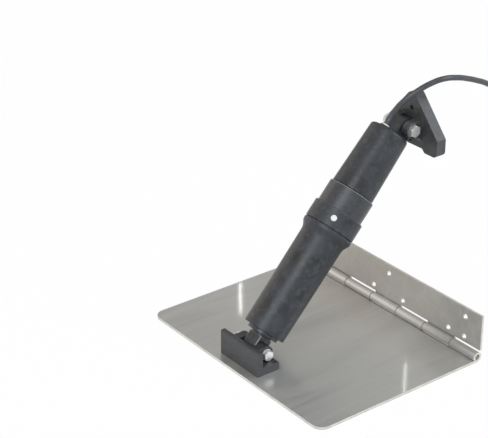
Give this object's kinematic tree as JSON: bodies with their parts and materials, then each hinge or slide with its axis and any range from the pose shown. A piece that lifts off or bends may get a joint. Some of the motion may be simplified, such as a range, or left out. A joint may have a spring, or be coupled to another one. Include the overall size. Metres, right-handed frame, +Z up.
{
  "type": "boat trim tab",
  "caption": "Stainless trim plate hinged to a transom flange, moved by a sealed electric screw actuator between pivoting plastic brackets.",
  "frame": {"origin": "on the flange's forward face, centred on its four corner holes", "axes": "+X along the hinge, +Y forward into the boat's transom, +Z up"},
  "size_m": [0.3048, 0.4876, 0.2911],
  "materials": {
    "stainless_sheet": "semi-gloss rolled stainless sheet",
    "stainless_fastener": "bright machined stainless",
    "black_plastic": "satin moulded black plastic",
    "satin_black_plastic": "satin moulded black plastic, slightly glossier",
    "white_plastic": "plain white nylon",
    "bronze": "machined bronze",
    "seal_rubber": "matt black nitrile",
    "cast_alloy": "cast light alloy",
    "motor_steel": "zinc-plated steel",
    "lead_insulation": "red wire insulation",
    "cable_jacket": "satin black cable jacket"
  },
  "bodies": {
    "transom_leaf": {"transom_flange": "stainless_sheet", "hinge_pin": "stainless_fastener"},
    "tab": {"tab_plate": "stainless_sheet", "lower_bracket": "satin_black_plastic", "bracket_screws": "stainless_fastener", "lower_pivot_bolt": "stainless_fastener", "lower_pivot_washers": "stainless_fastener", "lower_pivot_nut": "stainless_fastener"},
    "ram": {"ram_end": "black_plastic", "ram_eye_bush": "bronze", "ram_tube": "stainless_fastener", "ram_end_pin": "stainless_fastener", "drive_nut": "bronze", "ram_guide_ring": "white_plastic", "ram_snap_ring": "stainless_fastener"},
    "housing": {"lower_tube": "black_plastic", "rod_gland": "satin_black_plastic", "rod_wiper": "seal_rubber", "rod_o_ring": "seal_rubber", "bearing_carrier": "cast_alloy", "screw_bush": "bronze", "thrust_washer": "bronze", "coupling_collar": "satin_black_plastic", "lock_ring": "satin_black_plastic", "lock_plug": "white_plastic", "motor_housing": "black_plastic", "spigot_o_ring": "seal_rubber", "upper_eye_bush": "bronze", "gearbox_case": "cast_alloy", "gearbox_screws": "stainless_fastener", "motor_can": "motor_steel", "motor_end_bell": "satin_black_plastic", "motor_leads": "lead_insulation", "cable_gland": "satin_black_plastic", "gland_ferrule": "stainless_fastener", "cable": "cable_jacket", "cable_coil": "cable_jacket", "cable_ties": "white_plastic", "cable_plug": "satin_black_plastic", "plug_pins": "bronze"},
    "drive_screw": {"lead_screw": "stainless_fastener", "screw_coupling": "cast_alloy", "gearbox_output_shaft": "stainless_fastener"},
    "upper_mount": {"upper_bracket": "satin_black_plastic", "upper_pivot_bolt": "stainless_fastener", "upper_pivot_washers": "stainless_fastener", "upper_pivot_nut": "stainless_fastener"}
  },
  "joints": [
    {"name": "plate_hinge", "type": "hinge", "parent": "transom_leaf", "child": "tab", "pos_m": [0, -0.00592, -0.02668], "axis": [1, 0, 0], "range_deg": [-8, 25]},
    {"name": "actuator_pivot", "type": "hinge", "parent": "tab", "child": "ram", "pos_m": [0, -0.20292, -0.0131], "axis": [1, 0, 0], "range_deg": [-18, 38]},
    {"name": "ram_extend", "type": "slide", "parent": "ram", "child": "housing", "axis": [0, 0.6756, 0.7373], "range_m": [0, 0.057]},
    {"name": "screw_spin", "type": "hinge", "parent": "housing", "child": "drive_screw", "pos_m": [0, -0.20292, -0.0131], "axis": [0, 0.6756, 0.7373], "range_deg": [0, 4110]},
    {"name": "upper_pivot", "type": "hinge", "parent": "housing", "child": "upper_mount", "pos_m": [0, 0.00725, 0.1985], "axis": [1, 0, 0], "range_deg": [-20, 15]}
  ],
  "couplings": [
    {"joint": "screw_spin", "follows": "ram_extend", "rad_per_m": 1256.6}
  ]
}
